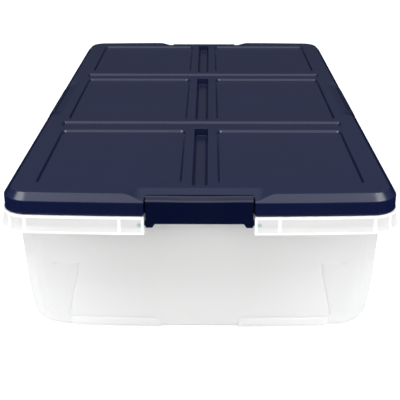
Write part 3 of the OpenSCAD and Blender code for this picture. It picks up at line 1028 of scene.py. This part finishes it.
def floor_paint(name):
    s = Surface(name)
    s.set("Base Color", s.colours(s.noise(2.0, 2.0), (0.60, 0.60, 0.60), (0.62, 0.62, 0.62)))
    s.set("Roughness", s.between(s.noise(3.0, 2.0), 0.55, 0.65))
    s.set("Emission Color", (1.0, 1.0, 1.0, 1.0))
    s.set("Emission Strength", FLOOR_GLOW)
    return s.material


def backdrop_paint(name):
    s = Surface(name)
    s.set("Base Color", (0.2, 0.2, 0.2, 1.0))
    s.set("Emission Color", s.colours(s.noise(0.5, 2.0), (0.98, 0.98, 0.98), (1.0, 1.0, 1.0)))
    s.set("Emission Strength", BACKDROP_GLOW)
    return s.material


# ---- the object --------------------------------------------------------------------------------------


def fit_out(piece, node, material):
    piece.data.set_sharp_from_angle(angle=SHARP_ANGLE)
    piece.data.materials.clear()
    piece.data.materials.append(material)
    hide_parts(node)
    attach(piece, node)


lid_material = opaque_plastic("navy_lid_plastic", LID_NAVY, LID_NAVY_WORN, LID_ROUGHNESS)
latch_material = opaque_plastic("navy_latch_plastic", LATCH_NAVY, LATCH_NAVY_WORN, LATCH_ROUGHNESS)
tub_material = clear_plastic("milky_plastic")

tub_piece = build_tub()
bore_pivots(tub_piece)
mark_painted_light_and_thickness(tub_piece)
tub_piece.visible_glossy = False
fit_out(tub_piece, "tub", tub_material)
fit_out(build_lid(), "lid", lid_material)
for latch_name, (latch_half, latch_place) in LATCHES.items():
    latch = build_latch(latch_name + "_shell", latch_half, latch_place, LEVEL_HOOKS.get(latch_name))
    fit_out(latch, latch_name, latch_material)

# ---- floor, lights and camera ------------------------------------------------------------------------

FLOOR_HALF = 30.0
BACKDROP_H = 12.0               # a pale wall round the floor, which only the camera sees
BACKDROP_GLOW = 0.8
FLOOR_GLOW = 0.6                # a lit table: the shadow under the box stays pale
SKY = ((0.0, 0.01), (0.08, 0.01), (0.34, 0.17), (0.39, 0.24),      # sine of elevation, strength
       (0.66, 0.27), (0.74, 0.75), (0.9, 0.75))
SKY_TINT = (0.92, 0.98, 1.07)


def area_light(name, at, target, size, watts, mirrored=True):
    data = bpy.data.lights.new(name, "AREA")
    data.shape = "RECTANGLE"
    data.size, data.size_y = size
    data.energy = watts
    light = bpy.data.objects.new(name, data)
    light.visible_glossy = mirrored
    light.visible_camera = False
    light.location = at
    light.rotation_euler = (Vector(target) - Vector(at)).to_track_quat("-Z", "Y").to_euler()
    bpy.context.scene.collection.objects.link(light)


floor_mesh = bpy.data.meshes.new("floor")
floor_corners = [(-FLOOR_HALF, -FLOOR_HALF, 0), (FLOOR_HALF, -FLOOR_HALF, 0),
                 (FLOOR_HALF, FLOOR_HALF, 0), (-FLOOR_HALF, FLOOR_HALF, 0)]
floor_mesh.from_pydata(floor_corners, [], [(0, 1, 2, 3)])
floor_mesh.materials.append(floor_paint("studio_floor"))
floor = bpy.data.objects.new("floor", floor_mesh)
floor.location.z = -0.0002
bpy.context.scene.collection.objects.link(floor)
floor.visible_glossy = False

backdrop_mesh = bpy.data.meshes.new("backdrop")
backdrop_corners = [(x, y, z) for z in (-0.5, BACKDROP_H) for x, y, _ in floor_corners]
backdrop_mesh.from_pydata(backdrop_corners, [], [(0, 1, 5, 4), (1, 2, 6, 5), (2, 3, 7, 6), (3, 0, 4, 7)])
backdrop_mesh.materials.append(backdrop_paint("studio_backdrop"))
backdrop = bpy.data.objects.new("backdrop", backdrop_mesh)
backdrop.visible_diffuse = False
backdrop.visible_glossy = False
backdrop.visible_shadow = False
bpy.context.scene.collection.objects.link(backdrop)

world = bpy.data.worlds.new("studio")
world.use_nodes = True
world_tree = world.node_tree
direction = world_tree.nodes.new("ShaderNodeTexCoord")
split = world_tree.nodes.new("ShaderNodeSeparateXYZ")
rise = world_tree.nodes.new("ShaderNodeValToRGB")
while len(rise.color_ramp.elements) < len(SKY):
    rise.color_ramp.elements.new(0.5)
for step, (height, grey) in zip(rise.color_ramp.elements, SKY):
    step.position = height
    step.color = (grey, grey, grey, 1)
world_tree.links.new(direction.outputs["Generated"], split.inputs["Vector"])
world_tree.links.new(split.outputs["Z"], rise.inputs["Fac"])
world_tree.links.new(rise.outputs["Color"], world_tree.nodes["Background"].inputs["Strength"])
world_tree.nodes["Background"].inputs["Color"].default_value = (*SKY_TINT, 1)
bpy.context.scene.world = world

area_light("overhead", (0.0, -1.4, 5.0), (0.0, -1.4, 0.0), (7.0, 5.2), 138.0)
area_light("left", (-1.3, -1.1, 0.6), (0.0, -0.3, 0.1), (0.7, 1.0), 7.5, mirrored=False)
area_light("right", (1.3, -1.1, 0.6), (0.0, -0.3, 0.1), (0.7, 1.0), 7.5, mirrored=False)
area_light("upper_left", (-1.35, -0.7, 1.9), (0.0, 0.0, 0.1), (0.9, 0.9), 15.0)
area_light("upper_right", (1.35, -0.7, 1.9), (0.0, 0.0, 0.1), (0.9, 0.9), 15.0)

CAMERA_LENS = 75.24
CAMERA_AT = (0.0107, -1.2817, 0.5492)
CAMERA_DOWN = math.radians(22.812)
CAMERA_YAW = math.radians(0.65)
CAMERA_ROLL = math.radians(-0.09)

camera_data = bpy.data.cameras.new("camera")
camera_data.sensor_width = 36.0
camera_data.lens = CAMERA_LENS
camera = bpy.data.objects.new("camera", camera_data)
turned = (Matrix.Rotation(CAMERA_YAW, 4, "Z") @ Matrix.Rotation(math.pi / 2 - CAMERA_DOWN, 4, "X")
          @ Matrix.Rotation(CAMERA_ROLL, 4, "Z"))
camera.matrix_world = Matrix.Translation(CAMERA_AT) @ turned
bpy.context.scene.collection.objects.link(camera)
bpy.context.scene.camera = camera
bpy.context.scene.view_settings.view_transform = "Standard"
